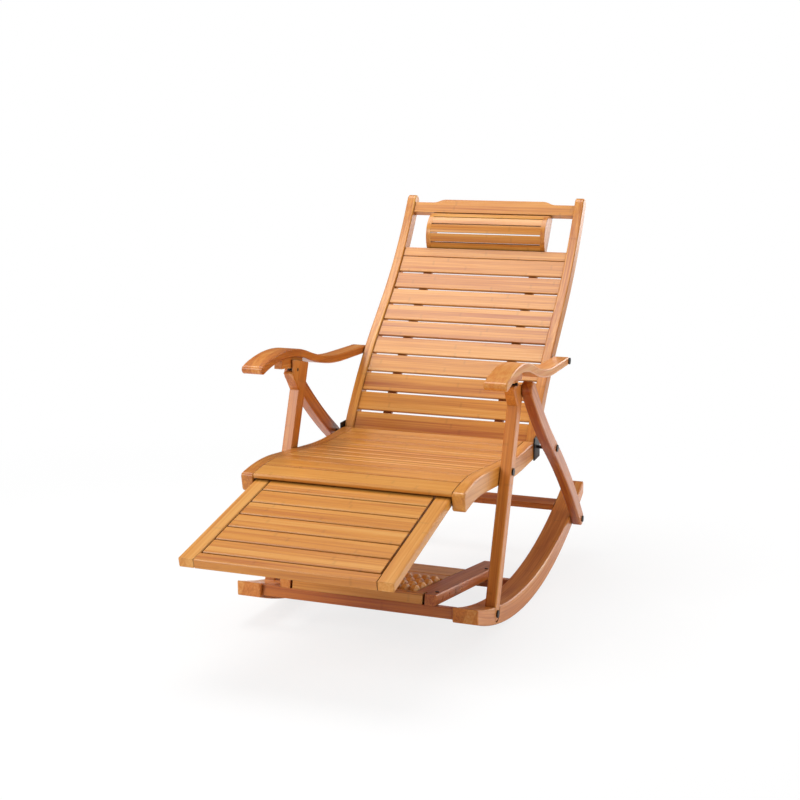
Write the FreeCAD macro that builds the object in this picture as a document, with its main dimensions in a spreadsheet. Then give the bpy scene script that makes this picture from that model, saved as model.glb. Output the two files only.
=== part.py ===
import FreeCAD, Part
import math, os
from FreeCAD import Placement, Rotation, Vector

# Reclining bamboo rocking chair. Millimetres, X across, -Y to the front, +Z up.
# The origin is on the floor, midway between the lowest points of the two rockers.

SIZES = [
    # name, value, what it measures
    ("rocker_radius", 1226, "radius of the rocking face"),
    ("rocker_flattening", 169, "how much larger the radius of the upper edge is"),
    ("rocker_height", 44.5, "rocker height at its lowest point"),
    ("rocker_reach", 489, "rocker end from the middle, front and rear"),
    ("settle", 5.17, "forward roll that brings the weight over the floor contact, degrees"),
    ("rocker_inner", 208, "inner face of a rocker from the middle"),
    ("rocker_width", 53, "rocker thickness across the chair"),
    ("leg_thick", 24, "thickness of every leg across the chair"),
    ("front_leg_width", 32, "front leg width, side view"),
    ("front_leg_lean", 20.9, "front leg lean to the rear, degrees"),
    ("front_foot_y", -348.8, "front foot bolt, along"),
    ("front_foot_up", 23.33, "front foot bolt above the rocking face"),
    ("foot_slack", 3, "slack behind the front foot in its housing"),
    ("head_top", 529, "height of the front leg's head"),
    ("head_nose", 66.4, "front of the head before the leg's centreline"),
    ("head_rear_drop", 9.5, "fall of the front leg's head to its rear edge"),
    ("head_depth", 46, "height of the flare below the head"),
    ("head_ease", 4, "bevel on the nose of the head"),
    ("cheek_thick", 5.5, "thickness of the cheek beside the catch pin"),
    ("cheek_lap", 12, "height of the cheek that lies in the head"),
    ("catch_ahead", 40.4, "catch pin before the leg's centreline"),
    ("catch_height", 1.5, "catch pin above the head"),
    ("rear_leg_width", 33, "rear leg width, side view"),
    ("rear_head_back", 5.6, "rear leg's upper end behind the front leg's centreline"),
    ("rear_head_down", 16.5, "rear leg's upper end below the front leg's head"),
    ("rear_foot_y", 365.5, "rear foot bolt, along"),
    ("rear_foot_up", 14.25, "rear foot bolt above the rocking face"),
    ("rear_leg_bow", 10.8, "turn of each half of the rear leg, degrees"),
    ("rear_leg_split", 0.403, "share of the rear leg above its inflection"),
    ("seat_rear_gap", 19.5, "rear end of the seat before the hinge"),
    ("seat_rear_up", 15, "rear end of the seat above the hinge"),
    ("seat_front_rise", 10, "slope of the seat at its front edge, degrees"),
    ("seat_fall", 7, "fall of the seat behind its crown, degrees"),
    ("seat_crown_length", 150, "length of the rounded front of the seat"),
    ("seat_flat_length", 183, "length of the straight fall of the seat"),
    ("seat_dish_length", 120, "length of the curve that levels the seat out"),
    ("seat_rear_length", 95.5, "length of the level rear of the seat"),
    ("seat_rail_depth", 40, "height of a seat rail"),
    ("seat_rail_thick", 27, "thickness of a seat rail across the chair"),
    ("seat_board_thick", 9, "thickness of the seat boards"),
    ("seat_front_board", 57.5, "rear edge of the front board from the seat's front"),
    ("front_board_set", 3, "front board behind the ends of the seat rails"),
    ("seat_slat_count", 9, "slats of the seat behind the front board"),
    ("seat_nose", 8, "rounding of the seat rails' front corners"),
    ("front_board_ease", 3, "bevel on the front board of the seat"),
    ("board_seam", 2, "gap behind the front board of the seat"),
    ("seat_rear_width", 38, "width of the rail under the seat's rear edge"),
    ("seat_rear_thick", 20, "thickness of the rail under the seat's rear edge"),
    ("seat_bolt_up", 294.9, "bolt of seat rail and front leg, along the leg"),
    ("slat_gap", 4.5, "gap between neighbouring slats of seat and footrest"),
    ("slat_ease", 1.5, "chamfer on a slat's long edges"),
    ("ease", 2, "chamfer on the edges of legs, rails and arms"),
    ("hinge_share", 0.4215, "hinge of back and seat, share of the rear leg from its head"),
    ("hinge_aside", 3.1, "hinge above the centreline of the rear leg"),
    ("plate_thick", 3, "hinge plate thickness"),
    ("plate_front", 28.5, "hinge plate before the hinge"),
    ("plate_rear", 20.5, "hinge plate behind the hinge"),
    ("plate_down", 26.5, "hinge plate below the hinge"),
    ("plate_up", 26, "hinge plate above the hinge"),
    ("plate_cut", 14, "corner cut from the hinge plate"),
    ("back_lean", 57, "slope of the back at the hinge, degrees"),
    ("back_low_length", 290, "length of the lower curve of the back"),
    ("back_low_turn", 16, "turn of the lower curve, degrees"),
    ("back_mid_length", 90, "length of the straight middle of the back"),
    ("back_top_length", 338.5, "length of the upper curve of the back"),
    ("back_top_turn", 18.5, "turn of the upper curve, degrees"),
    ("back_rail_depth", 34, "depth of a back rail"),
    ("back_rail_thick", 22.6, "thickness of a back rail across the chair"),
    ("back_face", 12, "slat faces in front of the back's centreline"),
    ("back_slat_thick", 6, "thickness of a back slat"),
    ("back_slat_gap", 6, "gap between neighbouring back slats"),
    ("back_slat_ease", 1, "chamfer on a back slat's long edges"),
    ("slat_start", 2, "first back slat from the hinge"),
    ("rail_seam", 1, "gap between the last slat and the cross rail"),
    ("mid_rail_width", 28, "width of the cross rail above the slats"),
    ("mid_rail_thick", 20, "thickness of the cross rail above the slats"),
    ("head_opening", 109, "opening for the headrest, along the back"),
    ("crest_down", 53.5, "lower edge of the crest rail from the back's upper end"),
    ("crest_width", 29, "width of the crest rail at its ends"),
    ("crest_rise", 9, "rise of the crest rail's middle"),
    ("crest_middle", 130, "half the raised middle of the crest rail"),
    ("crest_slope", 35, "length of the slope at each end of the raised middle"),
    ("crest_thick", 18, "thickness of the crest rail"),
    ("batten_inner", 128.5, "inner edge of a batten from the middle"),
    ("batten_thick", 10, "thickness of a batten"),
    ("batten_width", 21, "width of a batten"),
    ("headrest_bulge", 45, "headrest's front before the back's centreline"),
    ("headrest_lip", 2, "headrest's rim before the back's centreline"),
    ("headrest_rear", 8, "headrest's rear behind the back's centreline"),
    ("headrest_half", 157, "half the headrest's width"),
    ("headrest_plate", 12, "thickness of a headrest end plate"),
    ("stave_thick", 7, "thickness of a headrest stave"),
    ("stave_gap", 3, "gap between headrest staves"),
    ("arm_pivot_at", 230, "arm pivot, along the back from the hinge"),
    ("arm_thick", 18, "thickness of an arm"),
    ("arm_width", 48.5, "width of an arm at its front"),
    ("arm_taper", 10, "width that the arm loses to the rear"),
    ("arm_rise", 2.2, "rise of the arm's rear part to the front, degrees"),
    ("arm_dip_turn", 17, "turn of the arm's rising part, degrees"),
    ("arm_crown_turn", 35, "turn of the arm's crowned front, degrees"),
    ("arm_rear_length", 150, "length of the arm's straight rear part"),
    ("arm_dip_length", 214, "length of the arm's rising part"),
    ("arm_crown_length", 232, "length of the arm's crowned front"),
    ("rack_thick", 17.5, "thickness of the rack under an arm"),
    ("rack_end", 12, "length of the rack past the pin's last place"),
    ("rack_end_lift", 1, "rise of the rack's edge at its ends"),
    ("notch_half", 1.3, "half the width of a notch in recline, degrees"),
    ("arm_follow", 0.32, "turn of an arm for each degree of the back"),
    ("recline_back", 20, "recline from the pose shown, degrees"),
    ("recline_up", 8, "turn to the upright from the pose shown, degrees"),
    ("footrest_slope", 10.68, "fall of the footrest to the front, degrees"),
    ("footrest_reach", 333.8, "footrest's front end from its pins"),
    ("tail_gap", 0.9, "play between the footrest's tail and the seat above it"),
    ("footrest_thick", 18, "thickness of the footrest's rails"),
    ("footrest_rail", 32, "width of a footrest rail"),
    ("footrest_end", 28.2, "front rail of the footrest with its gap"),
    ("footrest_pitch", 51.9, "pitch of the footrest slats"),
    ("footrest_slat_thick", 9, "thickness of a footrest slat"),
    ("footrest_slit", 3.5, "gap between the ends of the footrest slats and the rails"),
    ("footrest_batten_inner", 123, "inner edge of a footrest batten from the middle"),
    ("footrest_batten_width", 27, "width of a footrest batten"),
    ("footrest_pin_back", 15, "footrest pins behind the seat's front edge"),
    ("footrest_pin_down", 19.7, "footrest pins below the seat's front edge"),
    ("footrest_travel", 300, "way of the footrest pins in their grooves"),
    ("footrest_side", 2, "play between footrest and seat rail"),
    ("groove_fall", 3.8, "fall of the grooves to the rear, degrees"),
    ("groove_depth", 8.2, "depth of the grooves in the seat rails"),
    ("massage_y", -477.5, "front end of the roller frame"),
    ("massage_z", 125.9, "underside of the roller frame at its front end"),
    ("massage_fall", 11.17, "fall of the roller frame to the rear, degrees"),
    ("massage_length", 520, "length of the roller frame"),
    ("massage_inner", 120, "inner face of a frame rail from the middle"),
    ("massage_rail", 50, "width of a frame rail"),
    ("massage_thick", 22, "thickness of a frame rail"),
    ("massage_bar", 20, "depth of the front bar"),
    ("massage_notch", 26, "width of the notch for the front bar"),
    ("massage_notch_gap", 5, "gap at each end of the front bar"),
    ("massage_board_thick", 12, "thickness of the boards behind the rollers"),
    ("massage_board_gap", 4, "gap before each board behind the rollers"),
    ("massage_board_first", 51, "width of the first board behind the rollers"),
    ("massage_board_second", 111, "width of the second board behind the rollers"),
    ("screw_front_at", 36, "front screws from the frame's front end"),
    ("screw_rear_at", 400, "rear screws from the frame's front end"),
    ("screw_in", 40, "screws from the inner edge of a frame rail"),
    ("screw_head", 4, "radius of a screw head"),
    ("screw_high", 1.5, "height of a screw head"),
    ("roller_first", 43.3, "first roller from the frame's front end"),
    ("roller_pitch", 43.8, "pitch of the rollers"),
    ("roller_radius", 20, "radius over the knobs of a roller"),
    ("roller_groove", 6, "depth of the grooves between knobs"),
    ("roller_rows", 12, "rows of knobs along a roller"),
    ("roller_flats", 10, "knobs in a row"),
    ("roller_end_gap", 1, "play at each end of a roller"),
    ("journal_length", 40, "length of a roller's journals"),
    ("stretcher_deep", 22, "height of the front and middle stretchers"),
    ("front_stretcher", 20, "width of the front stretcher"),
    ("mid_stretcher", 24, "width of the middle stretcher"),
    ("mid_stretcher_at", 418, "middle stretcher, along the roller frame"),
    ("rear_board_back", 1, "front edge of the rear stretcher behind the rear foot bolt"),
    ("rear_board_up", 14.5, "underside of the rear stretcher above the rear foot bolt"),
    ("rear_board_width", 55, "width of the rear stretcher"),
    ("rear_board_thick", 15, "thickness of the rear stretcher"),
    ("pin_radius", 4, "radius of pins and bolts"),
    ("bolt_head", 8, "radius of a bolt head"),
    ("bolt_head_high", 3, "height of a bolt head"),
    ("bolt_cover", 6, "wood left over the end of a bolt"),
    ("groove_wall", 1, "wood left between a groove and a bolt"),
    ("cut_over", 5, "length that a cut runs past the wood"),
    ("pivot_gap", 0.08, "play around a turning pin"),
    ("fixed_gap", 0.2, "play around a bolt that holds still"),
    ("side_gap", 0.3, "play between the side faces of moving parts"),
    ("arm_gap", 0.5, "play between an arm and the back rail, and beside its rack"),
    ("cheek_gap", 1.2, "play between a cheek and the arm that passes over it"),
    ("pin_recess", 0.4, "pins end short of the back rails' inner faces"),
    ("slide_gap", 0.15, "play of the footrest pins in their grooves"),
    ("rack_gap", 0.4, "play between catch pin and rack"),
]
S = {name: value for name, value, note in SIZES}
SIDES = (("right", 1), ("left", -1))
HEAD_SIDES = 12

doc = FreeCAD.newDocument("rocking_chair")
sheet = doc.addObject("Spreadsheet::Sheet", "sizes")
for row, (name, value, note) in enumerate(SIZES, 1):
    sheet.set("A%d" % row, note)
    sheet.set("B%d" % row, str(value))
    sheet.setAlias("B%d" % row, name)
doc.recompute()
nodes = []


def bound(text):
    """The expression with every size name pointed at the sheet."""
    words = text.replace("(", "( ").replace(")", " )").split()
    return " ".join("sizes." + word if word in S else word for word in words)


def inward(point, heading, distance):
    """The point a distance along a heading, in the side view (Y, Z)."""
    angle = math.radians(heading)
    return (point[0] + distance * math.cos(angle), point[1] + distance * math.sin(angle))


def turned_about(point, centre, degrees):
    """A point of the side view swung about a centre, upper end to the rear."""
    angle = math.radians(degrees)
    y, z = point[0] - centre[0], point[1] - centre[1]
    return (centre[0] + y * math.cos(angle) + z * math.sin(angle),
            centre[1] + z * math.cos(angle) - y * math.sin(angle))


class Path:
    """Straight runs and tangent arcs, end to end, in the side view (Y, Z)."""

    def __init__(self, start, heading, runs):
        self.runs, self.length, self.end = [], 0, start
        for length, turn in runs:
            self.runs.append((self.length, length, self.end, heading, turn))
            self.length += length
            self.end = self.at(self.length)
            heading += turn

    def run_of(self, s):
        return [run for run in self.runs if run[0] <= s + 1e-6 or run is self.runs[0]][-1]

    def heading(self, s):
        begin, length, point, heading, turn = self.run_of(s)
        return heading + turn * (s - begin) / length

    def at(self, s, offset=0):
        """The point at length s, moved to the left of the way by offset."""
        begin, length, point, heading, turn = self.run_of(s)
        swing = turn * (s - begin) / length
        half = math.radians(swing) / 2
        chord = (s - begin) * (math.sin(half) / half if abs(half) > 1e-9 else 1)
        point = inward(point, heading + swing / 2, chord)
        return inward(point, heading + swing + 90, offset)

    def where(self, y, offset):
        """The length at which an offset line along the path reaches y."""
        low, high = 0, self.length
        rearward = self.end[0] > self.at(0)[0]
        for halving in range(50):
            middle = (low + high) / 2
            short = (self.at(middle, offset)[0] < y) == rearward
            low, high = (middle, high) if short else (low, middle)
        return low

    def edge(self, s0, s1, offset):
        """Outline steps from s0 to s1, with one arc for each curved run."""
        cuts = [s for s in (run[0] for run in self.runs) if min(s0, s1) < s < max(s0, s1)]
        stops = [s0] + sorted(cuts, reverse=s1 < s0) + [s1]
        steps = [(self.at(s0, offset),)]
        for a, b in zip(stops, stops[1:]):
            middle = (a + b) / 2
            bent = abs(self.run_of(middle)[4]) > 1e-6
            via = (self.at(middle, offset),) if bent else ()
            steps.append(via + (self.at(b, offset),))
        return steps

    def strip(self, s0, s1, left, right, round_start=False, round_end=False):
        """A closed outline along the path, with square or round ends."""
        out, back = self.edge(s0, s1, left), self.edge(s1, s0, right)
        middle, reach = (left + right) / 2, abs(left - right) / 2
        if round_end:
            tip = inward(self.at(s1, middle), self.heading(s1), reach)
            back[0] = (tip,) + back[0]
        if round_start:
            tip = inward(self.at(s0, middle), self.heading(s0) + 180, reach)
            out[0] = (tip,) + out[0]
        return out + back

    def slat(self, s0, s1, face, thick, ease):
        """A flat board across the path with its two front edges eased."""
        corners = [(s0 + ease, face), (s1 - ease, face), (s1, face - ease),
                   (s1, face - thick), (s0, face - thick), (s0, face - ease)]
        return [(self.at(s, offset),) for s, offset in corners]


def draw(sketch, loops, holes=()):
    """Lines, arcs and circles of a sketch. A loop's step is (end) or (via, end)."""
    for loop in loops:
        here = loop[-1][-1]
        for step in loop:
            ends = [Vector(*point, 0) for point in (here,) + step]
            if len(ends) == 3:
                sketch.addGeometry(Part.ArcOfCircle(*ends))
            elif ends[0].distanceToPoint(ends[1]) > 1e-4:
                sketch.addGeometry(Part.LineSegment(*ends))
            here = step[-1]
    for y, z, radius in holes:
        sketch.addGeometry(Part.Circle(Vector(y, z, 0), Vector(0, 0, 1), radius))


def attached_sketch(body, role, name):
    sketch = body.newObject("Sketcher::SketchObject", name)
    plane = [item for item in body.Origin.OriginFeatures if item.Role == role][0]
    sketch.AttachmentSupport = [(plane, "")]
    sketch.MapMode = "FlatFace"
    return sketch


def padded(label, loops, thick, x, holes=(), ease=False, role="YZ_Plane", node=True, plan=None):
    """A board drawn in the side view and padded across the chair from x."""
    body = doc.addObject("PartDesign::Body", label)
    body.Label = label
    sketch = attached_sketch(body, role, label + "_outline")
    draw(sketch, loops, holes)
    pad = body.newObject("PartDesign::Pad", label + "_pad")
    pad.Profile = sketch
    pad.setExpression("Length", bound(thick))
    if x:
        body.setExpression(".Placement.Base.x", bound(x))
    if plan:
        cut_sketch = attached_sketch(body, "XY_Plane", label + "_plan")
        draw(cut_sketch, [plan])
        pad = body.newObject("PartDesign::Pocket", label + "_taper")
        pad.Profile = cut_sketch
        pad.Type = "ThroughAll"
        pad.Midplane = True
    if ease:
        doc.recompute()
        rims = [edge for face in pad.Shape.Faces if abs(face.normalAt(0, 0).x) > 0.999
                for edge in face.OuterWire.Edges]
        eased = ["Edge%d" % number for number, edge in enumerate(pad.Shape.Edges, 1)
                 if any(edge.isSame(rim) for rim in rims)]
        chamfer = body.newObject("PartDesign::Chamfer", label + "_ease")
        chamfer.Base = (pad, eased)
        chamfer.setExpression("Size", bound("ease"))
    if node:
        nodes.append(body)
    return body


def sided(side, inner, thick):
    """Where a board begins across the chair, for either side."""
    return "%s" % inner if side > 0 else "- ( %s ) - ( %s )" % (inner, thick)


def group_padded(label, loops, half):
    """Several loose boards of one outline each, padded evenly about the middle."""
    sketch = doc.addObject("Sketcher::SketchObject", label + "_outlines")
    draw(sketch, loops)
    sketch.Placement.Rotation = Rotation(Vector(0, 1, 0), Vector(0, 0, 1), Vector(1, 0, 0), "ZXY")
    boards = doc.addObject("Part::Extrusion", label)
    boards.Label = label
    boards.Base = sketch
    boards.DirMode = "Custom"
    boards.Dir = Vector(1, 0, 0)
    boards.Solid = True
    boards.setExpression("LengthFwd", bound(half))
    boards.setExpression("LengthRev", bound(half))
    nodes.append(boards)
    return boards


def combined(kind, label, base, tool):
    """A named cut, common or fuse of two solids."""
    result = doc.addObject(kind, label)
    result.Label = label
    result.Base, result.Tool = base, tool
    for item in (base, tool):
        if item in nodes:
            nodes.remove(item)
    nodes.append(result)
    return result


def along_x(kind, label, side, start, length, radius, y, z):
    """A round or many-sided stick that runs outward along X from start."""
    stick = doc.addObject(kind, label)
    stick.setExpression("Radius" if kind == "Part::Cylinder" else "Circumradius", bound(radius))
    stick.Height = length
    stick.Placement = Placement(Vector(side * start, y, z), Rotation(Vector(0, 1, 0), 90 * side))
    return stick


def bolt(label, side, start, face, y, z, headed=True):
    """A round pin from start to face, with a low twelve-sided head on the face."""
    pin = along_x("Part::Cylinder", label, side, start, face - start, "pin_radius", y, z)
    if not headed:
        return pin
    head = along_x("Part::Prism", label + "_head", side, face, S["bolt_head_high"], "bolt_head", y, z)
    head.Polygon = HEAD_SIDES
    whole = doc.addObject("Part::Fuse", label + "_headed")
    whole.Base, whole.Tool = pin, head
    return whole


def grouped(label, pieces):
    group = doc.addObject("Part::Compound", label)
    group.Label = label
    group.Links = pieces
    nodes.append(group)
    return group


# Lines that the pieces share
rocker_outer = S["rocker_inner"] + S["rocker_width"]
OUTER = "rocker_inner + rocker_width"
LEG_INNER = "rocker_inner + rocker_width - leg_thick"
leg_inner = rocker_outer - S["leg_thick"]
rear_outer = rocker_outer + S["leg_thick"]
seat_half = leg_inner - S["seat_rail_thick"]
SEAT_HALF = "rocker_inner + rocker_width - leg_thick - seat_rail_thick"
back_half = leg_inner - S["side_gap"] - S["back_rail_thick"]
BACK_HALF = "rocker_inner + rocker_width - leg_thick - side_gap - back_rail_thick"
fixed_hole = S["pin_radius"] + S["fixed_gap"]
pivot_hole = S["pin_radius"] + S["pivot_gap"]


def arc_height(radius, low, y):
    """Height at y of an arc that is lowest at y = 0."""
    return low + radius - math.sqrt(radius * radius - y * y)


def on_rocker(y, up):
    """The point at this height above the rocking face."""
    return (y, arc_height(S["rocker_radius"], up, y))


front_foot = on_rocker(S["front_foot_y"], S["front_foot_up"])
rear_foot = on_rocker(S["rear_foot_y"], S["rear_foot_up"])
front_leg = Path(front_foot, 90 - S["front_leg_lean"], [(S["head_top"], 0)])
upright = math.cos(math.radians(S["front_leg_lean"]))
head_middle = front_leg.at((S["head_top"] - front_foot[1]) / upright)[0]
head_nose = head_middle - S["head_nose"]
catch = (head_middle - S["catch_ahead"], S["head_top"] + S["catch_height"])
rear_head = (head_middle + S["rear_head_back"], S["head_top"] - S["rear_head_down"])
seat_bolt = front_leg.at(S["seat_bolt_up"])
leg_run = math.dist(rear_head, rear_foot)
leg_heading = math.degrees(math.atan2(rear_foot[1] - rear_head[1], rear_foot[0] - rear_head[0]))
leg_sinc = math.radians(S["rear_leg_bow"] / 2) / math.sin(math.radians(S["rear_leg_bow"] / 2))
rear_leg = Path(rear_head, leg_heading - S["rear_leg_bow"] / 2,
                [(leg_run * leg_sinc * S["rear_leg_split"], S["rear_leg_bow"]),
                 (leg_run * leg_sinc * (1 - S["rear_leg_split"]), -S["rear_leg_bow"])])
hinge = rear_leg.at(rear_leg.length * S["hinge_share"], S["hinge_aside"])

seat_runs = [(S["seat_crown_length"], -S["seat_front_rise"] - S["seat_fall"]), (S["seat_flat_length"], 0),
             (S["seat_dish_length"], S["seat_fall"]), (S["seat_rear_length"], 0)]
seat_span = Path((0, 0), S["seat_front_rise"], seat_runs).end
seat_front = (hinge[0] - S["seat_rear_gap"] - seat_span[0], hinge[1] + S["seat_rear_up"] - seat_span[1])
seat = Path(seat_front, S["seat_front_rise"], seat_runs)
footrest_pin = (seat_front[0] + S["footrest_pin_back"], seat_front[1] - S["footrest_pin_down"])
back = Path(hinge, S["back_lean"],
            [(S["back_low_length"], -S["back_low_turn"]), (S["back_mid_length"], 0),
             (S["back_top_length"], S["back_top_turn"])])
arm_pivot = back.at(S["arm_pivot_at"])
arm = Path(arm_pivot, 180 - S["arm_rise"],
           [(S["arm_rear_length"], 0), (S["arm_dip_length"], -S["arm_dip_turn"]),
            (S["arm_crown_length"], S["arm_crown_turn"])])

def on_arm(point, degrees):
    """A point of the frame as the arm sees it with the back turned by these degrees."""
    pivot = turned_about(arm_pivot, hinge, degrees)
    seen = turned_about(point, pivot, -S["arm_follow"] * degrees)
    return (seen[0] + arm_pivot[0] - pivot[0], seen[1] + arm_pivot[1] - pivot[1])


def under_arm(y):
    """The lowest that the arm's underside comes over this place of the frame."""
    lowest = []
    for degrees in (-S["recline_up"], 0, S["recline_back"]):
        height = S["head_top"]
        for step in range(20):
            seen = on_arm((y, height), degrees)
            height += arm.at(arm.where(seen[0], S["arm_thick"] / 2), S["arm_thick"] / 2)[1] - seen[1]
        lowest.append(height)
    return min(lowest)


massage = Path((S["massage_y"], S["massage_z"]), -S["massage_fall"], [(S["massage_length"], 0)])
footrest = Path(inward(footrest_pin, 180 + S["footrest_slope"], S["footrest_reach"]),
                S["footrest_slope"], [(S["footrest_reach"], 0)])

# Rockers: curved below and above, with an open housing for each front foot
reach = S["rocker_reach"]
low, top = S["rocker_radius"], S["rocker_radius"] + S["rocker_flattening"]
rocker_loop = [((reach, arc_height(low, 0, reach)),),
               ((reach, arc_height(top, S["rocker_height"], reach)),),
               ((0, S["rocker_height"]), (-reach, arc_height(top, S["rocker_height"], -reach))),
               ((-reach, arc_height(low, 0, -reach)),)]
rocker_loop[0] = ((0, 0),) + rocker_loop[0]
half = S["front_leg_width"] / 2
housing_loop = front_leg.strip(0, 4 * half, half + S["side_gap"], -half - S["foot_slack"],
                               round_start=True)
for name, side in SIDES:
    rocker = padded("rocker_%s_blank" % name, [rocker_loop], "rocker_width",
                    sided(side, "rocker_inner", "rocker_width"),
                    [front_foot + (fixed_hole,), rear_foot + (fixed_hole,)], ease=True)
    housing = padded("rocker_%s_housing" % name, [housing_loop], "leg_thick + ease",
                     sided(side, LEG_INNER, "leg_thick + ease"), node=False)
    combined("Part::Cut", "rocker_%s" % name, rocker, housing)

# Front legs: straight, round-footed, with a flared head that carries the catch pin. On its inner
# side a cheek rises past the pin and ends just below the arm
rear_edge_at = (S["head_top"] - S["head_rear_drop"] - front_leg.at(0, -half)[1]) / upright
front_edge_at = (S["head_top"] - S["head_depth"] - front_leg.at(0, half)[1]) / upright
saddle = S["pin_radius"] + S["fixed_gap"]
saddle_half = math.sqrt(saddle * saddle - S["catch_height"] * S["catch_height"])
foot_tip = inward(front_foot, 270 - S["front_leg_lean"], half)
leg_loop = [(foot_tip, front_leg.at(0, half)), (front_leg.at(front_edge_at, half),),
            ((head_nose, S["head_top"] - S["head_ease"]),), ((head_nose + S["head_ease"], S["head_top"]),),
            ((catch[0] - saddle_half, S["head_top"]),),
            ((catch[0], catch[1] - saddle), (catch[0] + saddle_half, S["head_top"])),
            (front_leg.at(rear_edge_at, -half),), (front_leg.at(0, -half),)]
cheek_foot, leg_base = S["head_top"] - S["cheek_lap"], front_leg.at(0, -half)[1]
cheek_rise = rear_edge_at
for step in range(6):
    cheek_end = under_arm(front_leg.at(cheek_rise, -half)[0]) - S["cheek_gap"]
    cheek_rise = (cheek_end - leg_base) / upright
cheek_loop = [((head_nose + S["head_ease"], cheek_foot),)]
for y in (head_nose + S["head_ease"], catch[0], head_middle):
    cheek_loop.append(((y, under_arm(y) - S["cheek_gap"]),))
cheek_loop += [(front_leg.at(cheek_rise, -half),), (front_leg.at((cheek_foot - leg_base) / upright, -half),)]
for name, side in SIDES:
    leg = padded("front_leg_%s_blank" % name, [leg_loop], "leg_thick", sided(side, LEG_INNER, "leg_thick"),
                 [front_foot + (fixed_hole,), seat_bolt + (fixed_hole,)], ease=True)
    cheek = padded("front_leg_%s_cheek" % name, [cheek_loop], "cheek_thick",
                   sided(side, LEG_INNER, "cheek_thick"), [catch + (saddle,)], ease=True, node=False)
    combined("Part::Fuse", "front_leg_%s" % name, leg, cheek)

# Rear legs: a long S outside the rockers, round at both ends
half = S["rear_leg_width"] / 2
rear_loop = rear_leg.strip(0, rear_leg.length, half, -half, round_start=True, round_end=True)
for name, side in SIDES:
    padded("rear_leg_%s" % name, [rear_loop], "leg_thick", sided(side, OUTER, "leg_thick"),
           [rear_foot + (fixed_hole,), hinge + (fixed_hole,)], ease=True)

# Stretchers between the rockers. The first two lie under the roller frame
middle_at = S["mid_stretcher_at"]
for label, s0, s1 in (("front_stretcher", 0, S["front_stretcher"]),
                      ("middle_stretcher", middle_at, middle_at + S["mid_stretcher"])):
    padded(label, [massage.strip(s0, s1, 0, -S["stretcher_deep"])], "rocker_inner * 2", "- rocker_inner",
           ease=False)
front, foot = rear_foot[0] + S["rear_board_back"], rear_foot[1] + S["rear_board_up"]
rear, top = front + S["rear_board_width"], foot + S["rear_board_thick"]
padded("rear_stretcher", [[((front, foot),), ((rear, foot),), ((rear, top),), ((front, top),)]],
       "rocker_inner * 2", "- rocker_inner")

# Seat: two waved rails, a front board, nine slats and a rail under the rear edge
groove = Path(footrest_pin, -S["groove_fall"], [(S["footrest_travel"], 0)])
groove_half = S["pin_radius"] + S["slide_gap"]
groove_loop = groove.strip(0, S["footrest_travel"], groove_half, -groove_half, True, True)
horn = S["seat_nose"]
rail_foot = -S["seat_rail_depth"]
rail_loop = seat.edge(horn, seat.length, 0) + seat.edge(seat.length, horn, rail_foot)
rail_loop += [(seat.at(horn * 0.3, rail_foot + horn * 0.3), seat.at(0, rail_foot + horn)),
              (seat.at(0, -horn),)]
rail_loop[0] = (seat.at(horn * 0.3, -horn * 0.3),) + rail_loop[0]
for name, side in SIDES:
    rail = padded("seat_rail_%s_blank" % name, [rail_loop], "seat_rail_thick",
                  sided(side, SEAT_HALF, "seat_rail_thick"), [seat_bolt + (fixed_hole,)], ease=True)
    way = padded("seat_rail_%s_groove" % name, [groove_loop], "groove_depth",
                 sided(side, SEAT_HALF, "groove_depth"), node=False)
    combined("Part::Cut", "seat_rail_%s" % name, rail, way)
board = S["seat_board_thick"]
padded("seat_front_rail", [seat.slat(S["front_board_set"], S["seat_front_board"], 0, board,
                                     S["front_board_ease"])],
       "( %s ) * 2" % SEAT_HALF, "- ( %s )" % SEAT_HALF)
first = S["seat_front_board"] + S["board_seam"]
count = int(S["seat_slat_count"])
pitch = (seat.length - first + S["slat_gap"]) / count
group_padded("seat_slats", [seat.slat(first + n * pitch, first + (n + 1) * pitch - S["slat_gap"],
                                      0, board, S["slat_ease"]) for n in range(count)], SEAT_HALF)
padded("seat_rear_rail", [seat.strip(seat.length - S["seat_rear_width"], seat.length,
                                     -board, -board - S["seat_rear_thick"])],
       "( %s ) * 2" % SEAT_HALF, "- ( %s )" % SEAT_HALF)

# Steel: hinge plates, hinge pins, catch pins and the bolts of the frame
front, rear = hinge[0] - S["plate_front"], hinge[0] + S["plate_rear"]
foot, top, cut = hinge[1] - S["plate_down"], hinge[1] + S["plate_up"], S["plate_cut"]
plate_loop = [((front, foot),), ((rear, foot),), ((rear, top - cut),), ((rear - cut, top),), ((front, top),)]
for name, side in SIDES:
    padded("hinge_plate_%s" % name, [plate_loop], "plate_thick", sided(side, LEG_INNER, "plate_thick"),
           [hinge + (fixed_hole,)])
grouped("hinge_pins", [bolt("hinge_pin_" + name, side, back_half + S["pin_recess"], rear_outer, *hinge)
                       for name, side in SIDES])
grouped("catch_pins", [bolt("catch_pin_" + name, side, leg_inner, rocker_outer, *catch, headed=False)
                       for name, side in SIDES])
grouped("frame_bolts", [bolt("%s_bolt_%s" % (place, name), side, start, face, *point)
                        for name, side in SIDES
                        for place, point, start, face in (
                            ("foot", front_foot, S["rocker_inner"] + S["bolt_cover"], rocker_outer),
                            ("heel", rear_foot, S["rocker_inner"] + S["bolt_cover"], rear_outer),
                            ("seat", seat_bolt, seat_half + S["groove_depth"] + S["groove_wall"],
                             rocker_outer))])

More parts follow.
